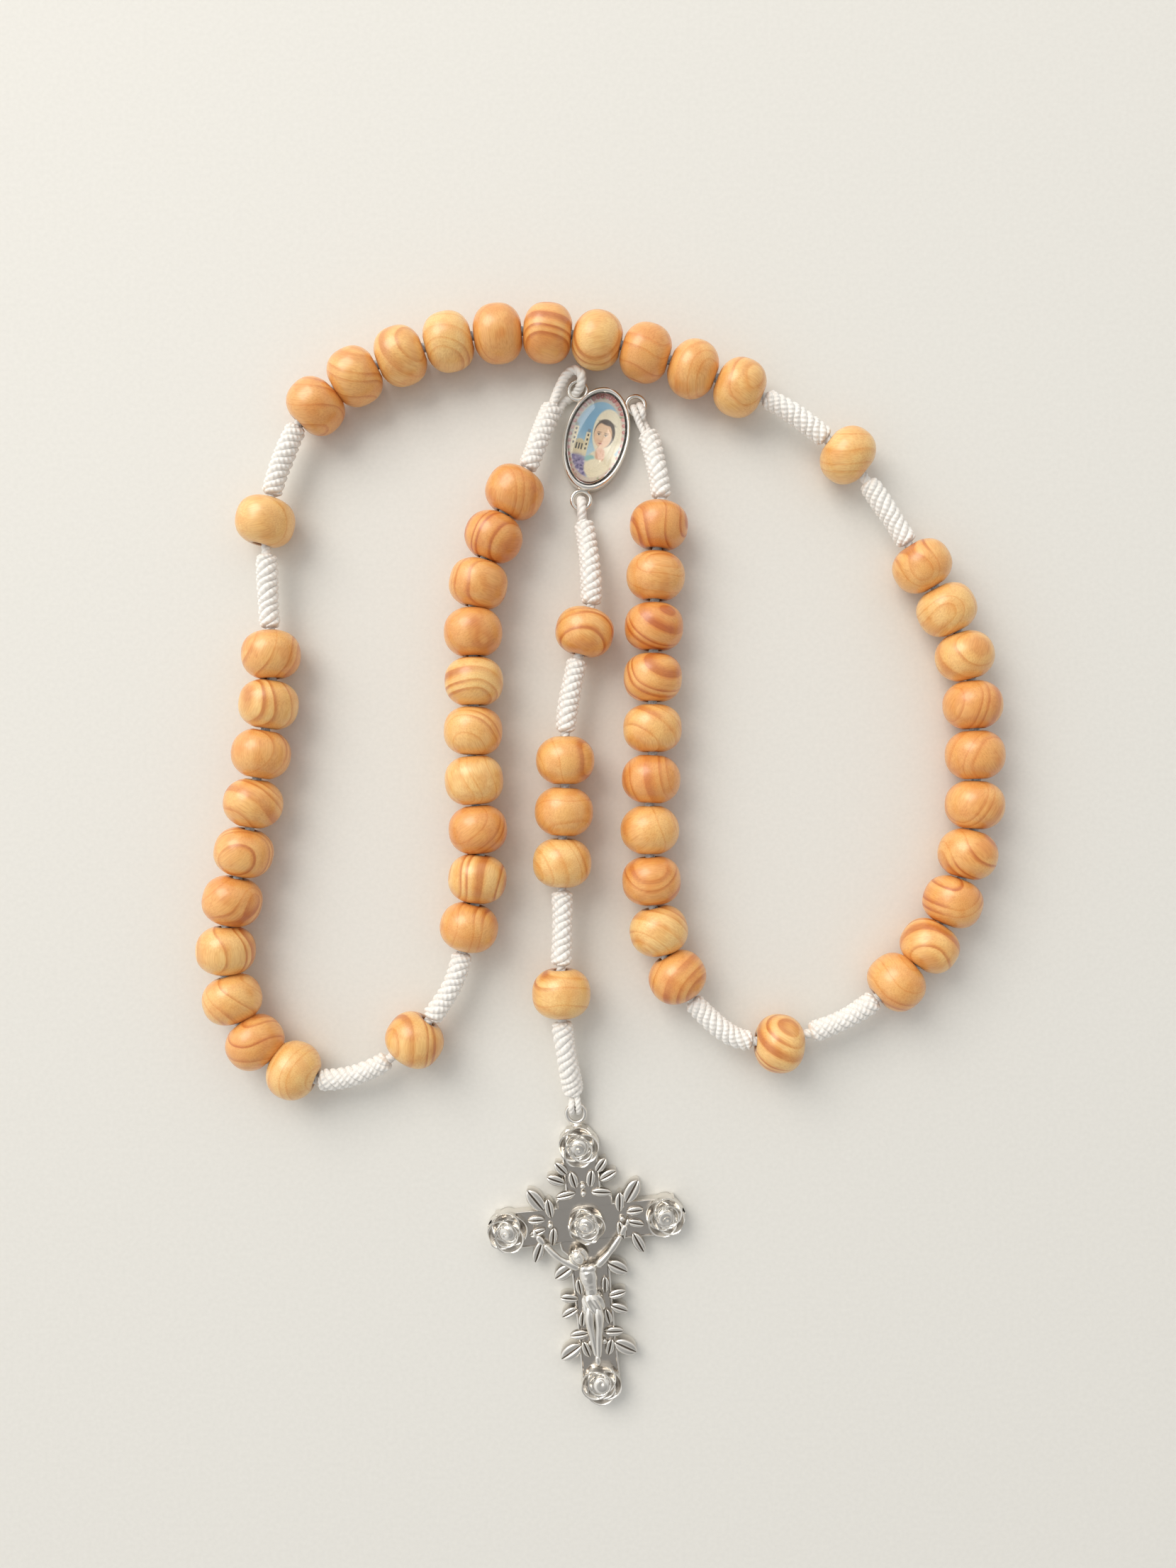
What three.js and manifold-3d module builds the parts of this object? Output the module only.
// A five-decade rosary of wooden beads on knotted white twine, laid out flat on a table.
//
// Lengths are millimetres, +Z is up, and the table is the plane Z = 0. The origin lies on the
// table under the middle of the whole layout. The loop of five decades starts and ends at a
// medal, and a pendant of five beads hangs from the medal and carries a crucifix.

import * as THREE from 'three';
import { mergeVertices } from 'three/addons/utils/BufferGeometryUtils.js';
import Module from 'manifold-3d';

// --- Driving dimensions -------------------------------------------------------------------

const BEAD_DIAMETER = 8.0; // across the bore
const BEAD_LENGTH = 6.2; // along the bore, face to face
const BORE_DIAMETER = 2.0;
const BORE_EDGE = 0.25; // the flat ring round each end of the bore
const BEAD_SIDES = 12;
const BEADS_PER_DECADE = 10;

const TWINE_DIAMETER = 1.3;
const TWINE_SIDES = 8;
const KNOT_DIAMETER = 3.0;
const KNOT_LENGTH = 10.0; // a barrel knot of the loop
const MEDAL_KNOT_LENGTH = 12.0; // the pendant's first knot, under the medal
const CRUCIFIX_KNOT_LENGTH = 11.0; // the pendant's last knot, above the crucifix

const KNOT_RECESS = 0.2; // of bare twine at each end of a knot's length
const SWING_GAP = 0.3; // between a spacer bead and the knots that swing round it
const STUB_GAP = 0.54; // between the twine that ends past a spacer bead and the knot that swings there
const LAID_OUT_STRAND = 94.18; // the length of decade strand that the routes below were chosen for
const PAIR_COLLAR_DIAMETER = 3.2; // the sleeve that joins the two beads of a joined pair

const MEDAL_WIDTH = 9.0;
const MEDAL_HEIGHT = 14.5;
const MEDAL_THICKNESS = 2.4;
const MEDAL_WALL = 0.5; // the rim round the picture
const MEDAL_FLOOR = 0.8; // the plate behind the picture
const MEDAL_TILT = THREE.MathUtils.degToRad(-14);
const PICTURE_THICKNESS = 0.2;
const DOME_RISE = 0.6; // how far the clear dome stands above the rim
const SEAT_GAP = 0.1; // between the pieces stacked in the medal

const MEDAL_EYELET_LEAN = 47; // degrees round the oval from its side to an upper eyelet

const EYELET_HOLE = 1.9;
const EYELET_WIRE = 0.62;
const EYELET_SINK = 0.3; // how deep an eyelet's ring runs into what carries it
const EYELET_CLEARANCE = 0.5; // between an eyelet's ring and the end of the twine beside it

const CRUCIFIX_TILT = THREE.MathUtils.degToRad(5.5);
const CRUCIFIX_LENGTH = 39.9; // from the middle of its eyelet to its foot
const CRUCIFIX_SPAN = 27.4;
const CRUCIFIX_THICKNESS = 2.0;
const CROSSBAR_DROP = 15.0; // from the middle of the eyelet to the middle of the crossbar
const BAR_WIDTH = 5.2;
const ROSE_DIAMETER = 5.4;
const ROSE_HEIGHT = 1.4; // above the face of the cross
const CORPUS_HEIGHT = 17.0; // from the crown to the feet

// --- Routes, chosen by hand: [x, y] or [x, y, z] from the middle of the layout --------------
// Twine without a height of its own runs at the height of the beads' bores.

const SPACER_1 = [-25.1, -24.9];
const SPACER_2 = [-45.4, 45.6];
const SPACER_3 = [33.8, 54.6];
const SPACER_4 = [24.5, -25.4];

// From beside the medal's left eyelet down to the first spacer bead.
const DECADE_1_ROUTE = [
  [-6.2, 62.5, 1.9], [-8, 57.5, 3.4], [-9.7, 53], [-11.8, 49.3], [-14.4, 43.5], [-16.6, 37.4], [-17.4, 31],
  [-16.8, 24.3], [-17.2, 17.5], [-17.2, 10.7], [-16.4, 4], [-16.3, -2.8], [-17.7, -9.5], [-20, -17.5],
];

const DECADE_2_ROUTE = [
  [-30.5, -28.6], [-36.4, -30.3], [-42.2, -29.3], [-47.1, -25.5], [-50.2, -19.4], [-51, -12.4],
  [-49.8, -5.3], [-48, 1.3], [-46.9, 8.2], [-45.9, 14.9], [-44.6, 21.6], [-44.6, 28.3], [-45, 35],
];

const DECADE_3_ROUTE = [
  [-43.6, 52.5], [-39.4, 61], [-33.3, 65.4], [-26.9, 68.2], [-20.2, 70.2], [-13.4, 71.3],
  [-6.5, 71.3], [0.2, 70.2], [6.9, 68.4], [13.4, 66.1], [19.6, 63.6], [25.2, 61],
];

const DECADE_4_ROUTE = [
  [38.5, 48], [43.6, 40], [47.3, 33.7], [50, 27.2], [50.9, 20.6], [51, 13.6], [51.3, 6.7],
  [50.1, -0.1], [47.9, -6.8], [44.7, -13], [39.8, -17.6], [33.5, -22],
];

// From the last spacer bead up to beside the medal's right eyelet.
const DECADE_5_ROUTE = [
  [18.5, -24.5], [14, -21], [10.3, -16.4], [7.8, -10], [7.1, -3.2], [6.8, 3.5], [7, 10.4], [7.4, 17.3],
  [7.1, 24.3], [7.6, 31.2], [7.5, 38.2], [8.2, 45], [8.4, 49], [7.8, 53.3, 3.4], [6.9, 57.6, 1.9],
];

// From beside the medal's lower eyelet to beside the crucifix's eyelet.
const PENDANT_ROUTE = [
  [-1.9, 44.5, 2.1], [-1.3, 40, 3.5], [-1.1, 35], [-1.7, 30.5], [-3, 26.5], [-4.5, 18.5], [-4.6, 12.6],
  [-4.7, 6], [-5.2, -0.8], [-5, -7.5], [-5.1, -13], [-5.3, -18], [-5, -23], [-4.4, -27.5, 3.3], [-3.7, -31.5, 1.9],
];

const MEDAL_PLACE = [-0.4, 57.4]; // its middle
const CRUCIFIX_PLACE = [-3.2, -35.6]; // the middle of its eyelet
const CRUCIFIX_EYELET_HEIGHT = 1.3;

// --- Sizes that follow ----------------------------------------------------------------------

const BORE_HEIGHT = BEAD_DIAMETER / 2;
const BEAD_CORNER = BEAD_DIAMETER / 2 / Math.cos(Math.PI / BEAD_SIDES);
const SPACER_REACH = Math.max(BEAD_CORNER, BEAD_LENGTH / 2) + SWING_GAP;
const STRAND_LENGTH = 2 * (SPACER_REACH + KNOT_LENGTH)
  + BEADS_PER_DECADE * BEAD_LENGTH + (BEADS_PER_DECADE + 1) * SWING_GAP;
const LAYOUT_SCALE = STRAND_LENGTH / LAID_OUT_STRAND;
const EYELET_RING = (EYELET_HOLE + EYELET_WIRE) / 2; // the radius of its wire's middle line
const EYELET_OUTER = EYELET_RING + EYELET_WIRE / 2;
const MEDAL_EYELET_HEIGHT = MEDAL_THICKNESS / 2;

// --- Finishes -------------------------------------------------------------------------------

const WOOD = new THREE.MeshStandardMaterial({ color: 0xdd9a4f, roughness: 0.35, metalness: 0 });
const TWINE = new THREE.MeshStandardMaterial({ color: 0xf2efe8, roughness: 0.55, metalness: 0 });
const SILVER = new THREE.MeshStandardMaterial({ color: 0xc9c9c6, roughness: 0.22, metalness: 1 });
const PRINT = new THREE.MeshStandardMaterial({ color: 0x8fb4cf, roughness: 0.6, metalness: 0 });
const RESIN = new THREE.MeshStandardMaterial({ color: 0xf4f7f8, roughness: 0.05, metalness: 0 });

// --- Joining and cutting --------------------------------------------------------------------

const wasm = await Module();
wasm.setup();

/** A closed geometry as a solid that can be joined and cut. */
function solidOf(geometry) {
  const plain = geometry.clone();
  plain.deleteAttribute('normal');
  plain.deleteAttribute('uv');
  const merged = mergeVertices(plain, 1e-4);
  const corners = merged.index.array;
  const kept = [];
  for (let i = 0; i < corners.length; i += 3) {
    const [a, b, c] = corners.slice(i, i + 3);
    if (a !== b && b !== c && c !== a) {
      kept.push(a, b, c);
    }
  }
  return new wasm.Manifold(new wasm.Mesh({
    numProp: 3,
    vertProperties: new Float32Array(merged.attributes.position.array),
    triVerts: new Uint32Array(kept),
  }));
}

/** A joined or cut solid as a geometry. */
function geometryOf(solid) {
  const { vertProperties, triVerts } = solid.getMesh();
  const geometry = new THREE.BufferGeometry();
  geometry.setAttribute('position', new THREE.BufferAttribute(vertProperties, 3));
  geometry.setIndex(new THREE.BufferAttribute(triVerts, 1));
  geometry.computeVertexNormals();
  return geometry;
}

/** Several closed geometries joined into one solid. */
function joined(geometries) {
  return geometries.map(solidOf).reduce((whole, piece) => whole.add(piece));
}

function named(name, geometry, material) {
  const mesh = new THREE.Mesh(geometry, material);
  mesh.name = name;
  return mesh;
}

// --- Twine ----------------------------------------------------------------------------------

/** A path of straight runs between stations, whose even steps fall on the stations. */
class StationPath extends THREE.Curve {
  constructor(stations) {
    super();
    this.stations = stations;
  }

  getPoint(t, target = new THREE.Vector3()) {
    const last = this.stations.length - 1;
    const index = Math.min(Math.floor(t * last), last - 1);
    return target.lerpVectors(this.stations[index], this.stations[index + 1], t * last - index);
  }

  getUtoTmapping(u) {
    return u;
  }
}

/** A tube of flat sides along stations. */
function tubeAlong(stations, diameter) {
  const corners = Array.from({ length: TWINE_SIDES }, (_, i) => {
    const turn = ((i + 0.5) * 2 * Math.PI) / TWINE_SIDES;
    return new THREE.Vector2(Math.cos(turn), Math.sin(turn)).multiplyScalar(diameter / 2);
  });
  return new THREE.ExtrudeGeometry(new THREE.Shape(corners), {
    extrudePath: new StationPath(stations),
    steps: stations.length - 1,
  });
}

const BEAD = { kind: 'bead', length: BEAD_LENGTH };
const SPACER = { kind: 'spacer', length: BEAD_LENGTH / 2 }; // half a bead, up to its middle
const SWING = { kind: 'swing', length: SPACER_REACH }; // clear room round a neighbour's spacer
const knot = (length = KNOT_LENGTH) => ({ kind: 'knot', length });
const lead = (length) => ({ kind: 'lead', length });
const BARE = ['lead', 'swing'];

/** A length of twine on its route, with the row of beads and barrel knots along it. */
class Strand {
  /** The length that the row leaves over is shared out as equal gaps between its items. */
  constructor(route, row) {
    const points = route.map(([x, y, z = BORE_HEIGHT]) => new THREE.Vector3(
      x * LAYOUT_SCALE,
      y * LAYOUT_SCALE,
      z,
    ));
    this.curve = new THREE.CatmullRomCurve3(points, false, 'centripetal');
    this.curve.arcLengthDivisions = 40 * points.length;
    this.length = this.curve.getLength();
    const apart = row.map((item, i) => (
      i > 0 && !BARE.includes(item.kind) && !BARE.includes(row[i - 1].kind)
    ));
    const used = row.reduce((sum, item) => sum + item.length, 0);
    this.gap = (this.length - used) / apart.filter(Boolean).length;
    let distance = 0;
    this.items = row.map((item, i) => {
      const before = apart[i] ? this.gap / 2 : 0;
      const after = apart[i + 1] ? this.gap / 2 : 0;
      const start = distance + before;
      distance = start + item.length + after;
      return { ...item, start, end: start + item.length, before, after };
    });
  }

  /** The place at a distance along the route. */
  at(distance) {
    return this.curve.getPointAt(THREE.MathUtils.clamp(distance / this.length, 0, 1));
  }

  /** Where the twine enters and leaves an item, halfway into the gaps beside it. */
  ends(item) {
    const start = this.at(item.start - item.before);
    const end = this.at(item.end + item.after);
    if (item.kind !== 'spacer') {
      return [start, end];
    }
    const first = item === this.items[0];
    const [middle, inner] = first ? [start, end] : [end, start];
    const outward = middle.clone().sub(inner).normalize();
    const outer = middle.clone().addScaledVector(outward, SPACER_REACH - STUB_GAP);
    return first ? [outer, inner] : [inner, outer];
  }

  /** The middle of an item and the direction of its bore. */
  placeOf(item) {
    const [start, end] = this.ends(item);
    const axis = end.clone().sub(start).normalize();
    if (item.kind !== 'spacer') {
      return { middle: start.add(end).multiplyScalar(0.5), axis };
    }
    return { middle: this.at(item === this.items[0] ? 0 : this.length), axis };
  }

  /** The twine and its knots as one body. */
  twine(name) {
    const threaded = this.items.filter((item) => item.kind !== 'swing');
    const stations = [this.ends(threaded[0])[0]];
    threaded.forEach((item) => {
      if (item.kind === 'knot') {
        stations.push(this.at((item.start + item.end) / 2));
      }
      stations.push(this.ends(item)[1]);
    });
    const knots = threaded.filter((item) => item.kind === 'knot').map((item) => {
      const middle = (item.start + item.end) / 2;
      const half = item.length / 2 - KNOT_RECESS;
      const steps = [-1, 0, 1].map((side) => this.at(middle + side * half));
      return tubeAlong(steps, KNOT_DIAMETER);
    });
    return named(name, geometryOf(joined([tubeAlong(stations, TWINE_DIAMETER), ...knots])), TWINE);
  }

  /** The beads on this strand, spacers left out. */
  beads() {
    return this.items.filter((item) => item.kind === 'bead');
  }
}

// --- Beads ----------------------------------------------------------------------------------

/**
 * A bead's outline from face to face, as [radius, place along the bore].
 *
 * It is an oval with its ends cut off square. The flats of its sides touch the true round.
 */
function beadOutline() {
  const widest = BEAD_CORNER;
  const faceRadius = BORE_DIAMETER / 2 + BORE_EDGE;
  const halfLength = BEAD_LENGTH / 2;
  const ovalReach = halfLength / Math.sqrt(1 - (faceRadius / widest) ** 2);
  const lastTurn = Math.asin(faceRadius / widest);
  return [0, 1, 2, 3, 4].map((step) => {
    const turn = lastTurn + ((Math.PI - 2 * lastTurn) * step) / 4;
    return new THREE.Vector2(widest * Math.sin(turn), -ovalReach * Math.cos(turn));
  });
}

/** A turned bead round the Y axis, with a flat side towards +Z. */
function turned(outline) {
  return new THREE.LatheGeometry(outline, BEAD_SIDES, Math.PI / BEAD_SIDES);
}

/** A bead with its bore. */
function boredBead() {
  const outline = beadOutline();
  const boreRadius = BORE_DIAMETER / 2 / Math.cos(Math.PI / BEAD_SIDES);
  const bore = [outline.at(-1), outline[0]].map(({ y }) => new THREE.Vector2(boreRadius, y));
  return turned([...outline, ...bore, outline[0]]);
}

/** A bead with no bore, to be joined and cut. */
function blankBead() {
  const outline = beadOutline();
  const ends = [outline[0], outline.at(-1)].map(({ y }) => new THREE.Vector2(0, y));
  return turned([ends[0], ...outline, ends[1]]);
}

/** Turns an object so that its Y axis runs along a direction and its Z axis faces up. */
function aim(object, middle, axis) {
  const side = new THREE.Vector3().crossVectors(axis, new THREE.Vector3(0, 0, 1)).normalize();
  const up = new THREE.Vector3().crossVectors(side, axis);
  object.quaternion.setFromRotationMatrix(new THREE.Matrix4().makeBasis(side, axis, up));
  object.position.copy(middle);
  return object;
}

const BORED_BEAD = boredBead();

function singleBead(name, strand, item) {
  const { middle, axis } = strand.placeOf(item);
  return aim(named(name, BORED_BEAD, WOOD), middle, axis);
}

/** Two neighbouring beads joined by a sleeve round the twine, bored in one. */
function beadPair(name, strand, [first, second]) {
  const [entry, between] = strand.ends(first);
  const exit = strand.ends(second)[1];
  const places = [first, second].map((item) => strand.placeOf(item));
  const blanks = places.map(({ middle, axis }) => {
    const bead = aim(new THREE.Object3D(), middle, axis);
    bead.updateMatrix();
    return blankBead().applyMatrix4(bead.matrix);
  });
  const sleeve = tubeAlong([places[0].middle, between, places[1].middle], PAIR_COLLAR_DIAMETER);
  const bore = solidOf(tubeAlong([entry, between, exit], BORE_DIAMETER));
  return named(name, geometryOf(joined([...blanks, sleeve]).subtract(bore)), WOOD);
}

// --- Medal ----------------------------------------------------------------------------------

/** An upright oval plate from one height to another, by its width and height. */
function ovalPlate(width, height, low, high) {
  const shape = new THREE.Shape();
  shape.absellipse(0, 0, width / 2, height / 2, 0, 2 * Math.PI);
  const plate = new THREE.ExtrudeGeometry(shape, {
    depth: high - low,
    bevelEnabled: false,
    curveSegments: 14,
  });
  return plate.translate(0, 0, low);
}

/** A ring of round wire lying flat. */
function eyelet([x, y], height) {
  return new THREE.TorusGeometry(EYELET_RING, EYELET_WIRE / 2, 6, 14).translate(x, y, height);
}

/** Where the medal's eyelets sit, from its middle: left, right and lower. */
function medalEyelets() {
  const lean = THREE.MathUtils.degToRad(MEDAL_EYELET_LEAN);
  const outward = new THREE.Vector2(
    Math.cos(lean) / MEDAL_WIDTH,
    Math.sin(lean) / MEDAL_HEIGHT,
  ).normalize().multiplyScalar(EYELET_OUTER - EYELET_SINK);
  const x = (Math.cos(lean) * MEDAL_WIDTH) / 2 + outward.x;
  const y = (Math.sin(lean) * MEDAL_HEIGHT) / 2 + outward.y;
  return [[-x, y], [x, y], [0, -MEDAL_HEIGHT / 2 - EYELET_OUTER + EYELET_SINK]];
}

function medalPieces() {
  const inWidth = MEDAL_WIDTH - 2 * MEDAL_WALL;
  const inHeight = MEDAL_HEIGHT - 2 * MEDAL_WALL;
  const plate = ovalPlate(MEDAL_WIDTH, MEDAL_HEIGHT, 0, MEDAL_THICKNESS);
  const pocket = solidOf(ovalPlate(inWidth, inHeight, MEDAL_FLOOR, MEDAL_THICKNESS + 1));
  const rings = medalEyelets().map((place) => eyelet(place, MEDAL_EYELET_HEIGHT));
  const bezel = solidOf(plate).subtract(pocket);
  const frame = rings.map(solidOf).reduce((whole, ring) => whole.add(ring), bezel);

  const pictureLow = MEDAL_FLOOR + SEAT_GAP;
  const pictureHigh = pictureLow + PICTURE_THICKNESS;
  const width = inWidth - 2 * SEAT_GAP;
  const height = inHeight - 2 * SEAT_GAP;
  const picture = ovalPlate(width, height, pictureLow, pictureHigh);

  const domeLow = pictureHigh + SEAT_GAP;
  const domeTop = MEDAL_THICKNESS + DOME_RISE;
  const rise = (share) => MEDAL_THICKNESS + DOME_RISE * (1 - share ** 2);
  const dome = new THREE.LatheGeometry([
    new THREE.Vector2(0, domeLow),
    new THREE.Vector2(1, domeLow),
    new THREE.Vector2(1, MEDAL_THICKNESS),
    ...[0.75, 0.4].map((share) => new THREE.Vector2(share, rise(share))),
    new THREE.Vector2(0, domeTop),
  ], 28);
  dome.rotateX(Math.PI / 2).scale(width / 2, height / 2, 1);

  const medal = new THREE.Group();
  medal.add(
    named('medal_frame', geometryOf(frame), SILVER),
    named('medal_picture', picture, PRINT),
    named('medal_dome', geometryOf(solidOf(dome)), RESIN),
  );
  medal.rotation.z = MEDAL_TILT;
  medal.position.set(MEDAL_PLACE[0] * LAYOUT_SCALE, MEDAL_PLACE[1] * LAYOUT_SCALE, 0);
  medal.updateMatrixWorld();
  return medal;
}

// --- Crucifix -------------------------------------------------------------------------------

/** A slab with an outline, from one height to another. */
function slab(outline, low, high) {
  const shape = new THREE.Shape(outline.map(([x, y]) => new THREE.Vector2(x, y)));
  const block = new THREE.ExtrudeGeometry(shape, { depth: high - low, bevelEnabled: false });
  return block.translate(0, 0, low);
}

/** The flat Latin cross behind everything else. */
function crossBars() {
  const half = BAR_WIDTH / 2;
  const arm = CRUCIFIX_SPAN / 2 - 1;
  const top = -EYELET_OUTER + EYELET_SINK;
  const foot = -CRUCIFIX_LENGTH + 1;
  const [over, under] = [-CROSSBAR_DROP + half, -CROSSBAR_DROP - half];
  return slab([
    [-half, foot], [half, foot], [half, under], [arm, under], [arm, over], [half, over],
    [half, top], [-half, top], [-half, over], [-arm, over], [-arm, under], [-half, under],
  ], 0, CRUCIFIX_THICKNESS);
}

/** A low round rose that stands on the cross. */
function rose(x, y) {
  const radius = ROSE_DIAMETER / 2;
  const outline = [[0, 0.3], [0.9, 0.3], [1, 0.6], [0.72, 0.85], [0.5, 0.8], [0.25, 1], [0, 1]];
  const low = CRUCIFIX_THICKNESS / 2;
  const height = CRUCIFIX_THICKNESS / 2 + ROSE_HEIGHT;
  const points = outline.map(([out, up]) => new THREE.Vector2(out * radius, low + up * height));
  return new THREE.LatheGeometry(points, 10).rotateX(Math.PI / 2).translate(x, y, 0);
}

/** A pointed leaf that lies on the cross, aimed by an angle in degrees from +X. */
function leaf(x, y, angle) {
  const outline = [[-2.4, 0], [-1.2, -1], [0.6, -1.1], [2.4, 0], [0.6, 1.1], [-1.2, 1]];
  return slab(outline, CRUCIFIX_THICKNESS - 0.7, CRUCIFIX_THICKNESS + 0.5)
    .rotateZ(THREE.MathUtils.degToRad(angle))
    .translate(x, y, 0);
}

/** A rounded limb between two places. */
function limb(from, to, thickness) {
  const [start, end] = [from, to].map((place) => new THREE.Vector3(...place));
  const length = start.distanceTo(end);
  const bar = new THREE.CapsuleGeometry(thickness / 2, length, 2, 6, 1);
  const pose = new THREE.Object3D();
  pose.quaternion.setFromUnitVectors(
    new THREE.Vector3(0, 1, 0),
    end.clone().sub(start).normalize(),
  );
  pose.position.copy(start.add(end).multiplyScalar(0.5));
  pose.updateMatrix();
  return bar.applyMatrix4(pose.matrix);
}

/** The figure on the cross: head, trunk, loincloth, raised arms and legs. */
function corpus() {
  const face = CRUCIFIX_THICKNESS;
  const unit = CORPUS_HEIGHT / 17;
  const shoulder = -CROSSBAR_DROP - 1.6 * unit;
  const hip = shoulder - 6.4 * unit;
  const feet = shoulder - 14 * unit;
  const handX = CRUCIFIX_SPAN / 2 - 5.6;
  const head = new THREE.SphereGeometry(1.25 * unit, 8, 6)
    .translate(0, shoulder + 1.9 * unit, face + 1.2);
  return [
    head,
    limb([0, shoulder, face + 0.5], [0, hip, face + 0.5], 2.9 * unit),
    limb([-0.9 * unit, hip, face + 0.5], [0.9 * unit, hip, face + 0.5], 2.6 * unit),
    limb([-1.1 * unit, shoulder, face + 0.4], [-handX, -CROSSBAR_DROP + 1.2, face + 0.2], 1.1 * unit),
    limb([1.1 * unit, shoulder, face + 0.4], [handX, -CROSSBAR_DROP + 1.2, face + 0.2], 1.1 * unit),
    limb([-0.55 * unit, hip, face + 0.4], [-0.3 * unit, feet, face + 0.4], 1.5 * unit),
    limb([0.55 * unit, hip, face + 0.4], [0.3 * unit, feet, face + 0.4], 1.5 * unit),
  ];
}

function crucifix() {
  const roseInset = ROSE_DIAMETER / 2;
  const arm = CRUCIFIX_SPAN / 2 - roseInset;
  const topRose = -EYELET_OUTER - roseInset + 0.4;
  const footRose = -CRUCIFIX_LENGTH + roseInset;
  const leaves = [[2.6, 40], [-2.6, 140]].flatMap(([x, angle]) => [
    leaf(x, topRose - 3.4, angle),
    leaf(x * 1.5, -CROSSBAR_DROP + 3.2, angle),
    leaf(x * 1.5, -CROSSBAR_DROP - 3.2, -angle),
    leaf(x * 0.9, footRose + 4.2, -angle),
    leaf(x * 0.9, footRose + 9.4, -angle),
  ]);
  const body = joined([
    crossBars(),
    rose(0, topRose), rose(-arm, -CROSSBAR_DROP), rose(arm, -CROSSBAR_DROP), rose(0, footRose),
    rose(0, -CROSSBAR_DROP + 0.4),
    ...leaves,
    ...corpus(),
    eyelet([0, 0], CRUCIFIX_EYELET_HEIGHT),
  ]);
  const mesh = named('crucifix', geometryOf(body), SILVER);
  mesh.rotation.z = CRUCIFIX_TILT;
  mesh.position.set(CRUCIFIX_PLACE[0] * LAYOUT_SCALE, CRUCIFIX_PLACE[1] * LAYOUT_SCALE, 0);
  return mesh;
}

// --- The whole rosary -----------------------------------------------------------------------

/**
 * A place beside an eyelet where its twine ends, in a direction in degrees from +X.
 *
 * Twine that passes the ring side on ends further out, by its aside.
 */
function besideEyelet([x, y], angle, height, aside = 0) {
  const reach = (EYELET_OUTER + EYELET_CLEARANCE + aside) / LAYOUT_SCALE;
  const turn = THREE.MathUtils.degToRad(angle);
  return [x + reach * Math.cos(turn), y + reach * Math.sin(turn), height];
}

const rosary = new THREE.Group();
const medal = medalPieces();
const [leftEyelet, rightEyelet, lowerEyelet] = medalEyelets().map((place) => {
  const { x, y } = medal.localToWorld(new THREE.Vector3(...place, 0));
  return [x / LAYOUT_SCALE, y / LAYOUT_SCALE];
});

const decade = [knot(), ...Array(BEADS_PER_DECADE).fill(BEAD), knot()];
const strands = [
  new Strand(
    [
      besideEyelet(leftEyelet, 170, MEDAL_EYELET_HEIGHT, TWINE_DIAMETER / 2),
      ...DECADE_1_ROUTE,
      SPACER_1,
    ],
    [lead(3), ...decade, SPACER],
  ),
  new Strand([SPACER_1, ...DECADE_2_ROUTE, SPACER_2], [SWING, ...decade, SWING]),
  new Strand([SPACER_2, ...DECADE_3_ROUTE, SPACER_3], [SPACER, ...decade, SPACER]),
  new Strand([SPACER_3, ...DECADE_4_ROUTE, SPACER_4], [SWING, ...decade, SWING]),
  new Strand(
    [SPACER_4, ...DECADE_5_ROUTE, besideEyelet(rightEyelet, -70, MEDAL_EYELET_HEIGHT)],
    [SPACER, ...decade, lead(2.2)],
  ),
];
const pendant = new Strand(
  [
    besideEyelet(lowerEyelet, -87, MEDAL_EYELET_HEIGHT),
    ...PENDANT_ROUTE,
    besideEyelet(CRUCIFIX_PLACE, 97, CRUCIFIX_EYELET_HEIGHT),
  ],
  [
    lead(1.2), knot(MEDAL_KNOT_LENGTH), BEAD, knot(), BEAD, BEAD, BEAD, knot(), BEAD,
    knot(CRUCIFIX_KNOT_LENGTH), lead(0.6),
  ],
);

strands.forEach((strand, i) => {
  const decadeName = `decade_${i + 1}`;
  const beads = strand.beads();
  rosary.add(strand.twine(`${decadeName}_twine`));
  rosary.add(beadPair(`${decadeName}_beads_01_02`, strand, beads.slice(0, 2)));
  beads.slice(2, -2).forEach((item, k) => {
    rosary.add(singleBead(`${decadeName}_bead_0${k + 3}`, strand, item));
  });
  rosary.add(beadPair(`${decadeName}_beads_09_10`, strand, beads.slice(-2)));
});

const spacerSeats = [[0, -1], [2, 0], [2, -1], [4, 0]];
spacerSeats.forEach(([strand, end], i) => {
  const item = strands[strand].items.at(end);
  rosary.add(singleBead(`spacer_bead_${i + 1}`, strands[strand], item));
});

rosary.add(pendant.twine('pendant_twine'));
pendant.beads().forEach((item, i) => {
  rosary.add(singleBead(`pendant_bead_${i + 1}`, pendant, item));
});

rosary.add(medal, crucifix());

// The table's origin lies under the middle of the layout.
const middle = new THREE.Box3().setFromObject(rosary).getCenter(new THREE.Vector3());
rosary.position.set(-middle.x, -middle.y, 0);

export default rosary;
